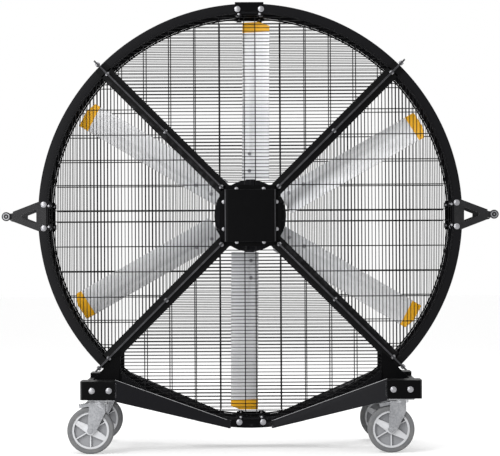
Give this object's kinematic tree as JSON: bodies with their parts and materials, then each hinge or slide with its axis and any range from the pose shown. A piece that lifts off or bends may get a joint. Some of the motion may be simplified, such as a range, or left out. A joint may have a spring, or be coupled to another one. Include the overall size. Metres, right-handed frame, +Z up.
{
  "type": "portable fan",
  "caption": "Large wheeled drum fan: round shroud with wire guards, pitched blades with coloured tips, side push bars and a low base on swivel casters.",
  "frame": {"origin": "on the floor, under the middle of the hub", "axes": "+X to the right over the handles, -Y the front guard, +Z up"},
  "size_m": [2.514, 0.868, 2.2623],
  "materials": {
    "black_shroud": "satin powder coat",
    "black_guard": "satin powder coat",
    "black_plate": "satin powder coat",
    "black_base": "satin powder coat",
    "black_grip": "satin powder coat",
    "motor_paint": "satin",
    "core_steel": "laminated",
    "bright_steel": "bright zinc",
    "rotor_paint": "satin",
    "blade_aluminium": "satin anodised",
    "tip_yellow": "moulded",
    "box_plastic": "moulded",
    "board_green": "lacquered",
    "fork_zinc": "zinc plated",
    "pedal_zinc": "zinc plated",
    "core_grey": "moulded",
    "tyre_grey": "soft tread"
  },
  "bodies": {
    "frame": {"base_beam_left": "black_base", "base_beam_right": "black_base", "base_gussets": "black_plate", "base_rails_front": "black_base", "base_rails_rear": "black_base", "caster_plates": "fork_zinc", "control_box": "box_plastic", "control_cover": "box_plastic", "drive_board": "board_green", "frame_bolts": "bright_steel", "front_guard_bottom": "black_guard", "front_guard_left": "black_guard", "front_guard_right": "black_guard", "front_guard_top": "black_guard", "handle_bars": "black_grip", "handle_brackets": "black_plate", "hub_cover": "black_plate", "hub_front_plate": "black_plate", "hub_rear_plate": "black_plate", "motor_bearings": "bright_steel", "motor_housing": "motor_paint", "motor_stator": "core_steel", "power_gland": "box_plastic", "rear_guard_bottom": "black_guard", "rear_guard_left": "black_guard", "rear_guard_right": "black_guard", "rear_guard_top": "black_guard", "ring_ties": "black_plate", "shroud_bottom": "black_shroud", "shroud_left": "black_shroud", "shroud_right": "black_shroud", "shroud_top": "black_shroud"},
    "rotor": {"rotor_hub": "rotor_paint", "motor_shaft": "bright_steel", "motor_rotor": "core_steel", "blade_tips": "tip_yellow", "blade_bolts": "bright_steel", "blade_1": "blade_aluminium", "blade_2": "blade_aluminium", "blade_3": "blade_aluminium", "blade_4": "blade_aluminium", "blade_5": "blade_aluminium", "blade_6": "blade_aluminium"},
    "speed_knob": {"speed_knob": "box_plastic"},
    "fork_front_left": {"caster_fork_front_left": "fork_zinc"},
    "wheel_front_left": {"caster_wheel_front_left": "core_grey", "caster_tyre_front_left": "tyre_grey"},
    "pedal_front_left": {"brake_pedal_front_left": "pedal_zinc"},
    "fork_front_right": {"caster_fork_front_right": "fork_zinc"},
    "wheel_front_right": {"caster_wheel_front_right": "core_grey", "caster_tyre_front_right": "tyre_grey"},
    "pedal_front_right": {"brake_pedal_front_right": "pedal_zinc"},
    "fork_rear_left": {"caster_fork_rear_left": "fork_zinc"},
    "wheel_rear_left": {"caster_wheel_rear_left": "core_grey", "caster_tyre_rear_left": "tyre_grey"},
    "pedal_rear_left": {"brake_pedal_rear_left": "pedal_zinc"},
    "fork_rear_right": {"caster_fork_rear_right": "fork_zinc"},
    "wheel_rear_right": {"caster_wheel_rear_right": "core_grey", "caster_tyre_rear_right": "tyre_grey"},
    "pedal_rear_right": {"brake_pedal_rear_right": "pedal_zinc"}
  },
  "joints": [
    {"name": "rotor_spin", "type": "hinge", "parent": "frame", "child": "rotor", "pos_m": [0, 0, 1.181], "axis": [0, -1, 0], "continuous": true},
    {"name": "knob_turn", "type": "hinge", "parent": "frame", "child": "speed_knob", "pos_m": [0, 0.2395, 1.201], "axis": [0, -1, 0], "range_deg": [0, 270]},
    {"name": "swivel_front_left", "type": "hinge", "parent": "frame", "child": "fork_front_left", "pos_m": [-0.74484, -0.365, 0.26], "axis": [0, 0, 1], "continuous": true},
    {"name": "roll_front_left", "type": "hinge", "parent": "fork_front_left", "child": "wheel_front_left", "pos_m": [-0.79634, -0.365, 0.116], "axis": [0, 1, 0], "continuous": true},
    {"name": "brake_front_left", "type": "hinge", "parent": "fork_front_left", "child": "pedal_front_left", "pos_m": [-0.79234, -0.365, 0.251], "axis": [0, -1, 0], "range_deg": [0, 8]},
    {"name": "swivel_front_right", "type": "hinge", "parent": "frame", "child": "fork_front_right", "pos_m": [0.74484, -0.365, 0.26], "axis": [0, 0, 1], "continuous": true},
    {"name": "roll_front_right", "type": "hinge", "parent": "fork_front_right", "child": "wheel_front_right", "pos_m": [0.69334, -0.365, 0.116], "axis": [0, 1, 0], "continuous": true},
    {"name": "brake_front_right", "type": "hinge", "parent": "fork_front_right", "child": "pedal_front_right", "pos_m": [0.69734, -0.365, 0.251], "axis": [0, -1, 0], "range_deg": [0, 8]},
    {"name": "swivel_rear_left", "type": "hinge", "parent": "frame", "child": "fork_rear_left", "pos_m": [-0.74484, 0.365, 0.26], "axis": [0, 0, 1], "continuous": true},
    {"name": "roll_rear_left", "type": "hinge", "parent": "fork_rear_left", "child": "wheel_rear_left", "pos_m": [-0.79634, 0.365, 0.116], "axis": [0, 1, 0], "continuous": true},
    {"name": "brake_rear_left", "type": "hinge", "parent": "fork_rear_left", "child": "pedal_rear_left", "pos_m": [-0.79234, 0.365, 0.251], "axis": [0, -1, 0], "range_deg": [0, 8]},
    {"name": "swivel_rear_right", "type": "hinge", "parent": "frame", "child": "fork_rear_right", "pos_m": [0.74484, 0.365, 0.26], "axis": [0, 0, 1], "continuous": true},
    {"name": "roll_rear_right", "type": "hinge", "parent": "fork_rear_right", "child": "wheel_rear_right", "pos_m": [0.69334, 0.365, 0.116], "axis": [0, 1, 0], "continuous": true},
    {"name": "brake_rear_right", "type": "hinge", "parent": "fork_rear_right", "child": "pedal_rear_right", "pos_m": [0.69734, 0.365, 0.251], "axis": [0, -1, 0], "range_deg": [0, 8]}
  ]
}
